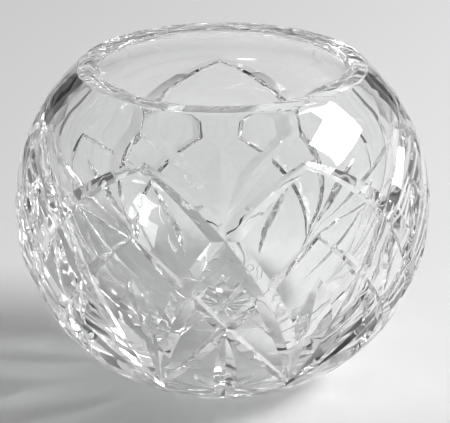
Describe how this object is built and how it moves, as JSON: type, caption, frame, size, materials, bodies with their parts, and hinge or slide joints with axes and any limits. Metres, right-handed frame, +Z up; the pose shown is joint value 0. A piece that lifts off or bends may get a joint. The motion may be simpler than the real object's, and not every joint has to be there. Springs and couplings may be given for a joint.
{
  "type": "rose bowl vase",
  "caption": "Round clear crystal rose bowl with a wide open mouth, a flat polished rim, pointed arches and leaf mitres cut into its outer wall, and a star-cut foot.",
  "frame": {"origin": "middle of the flat foot, on the surface that the bowl stands on", "axes": "+Z up along the bowl's turning axis, -Y towards the front, where a cut diamond faces the viewer"},
  "size_m": [0.15, 0.15, 0.117],
  "materials": {
    "crystal": "clear lead crystal, wheel-cut mitres, polished bright"
  },
  "bodies": {
    "root": {"cut_crystal_bowl": "crystal"}
  },
  "joints": []
}
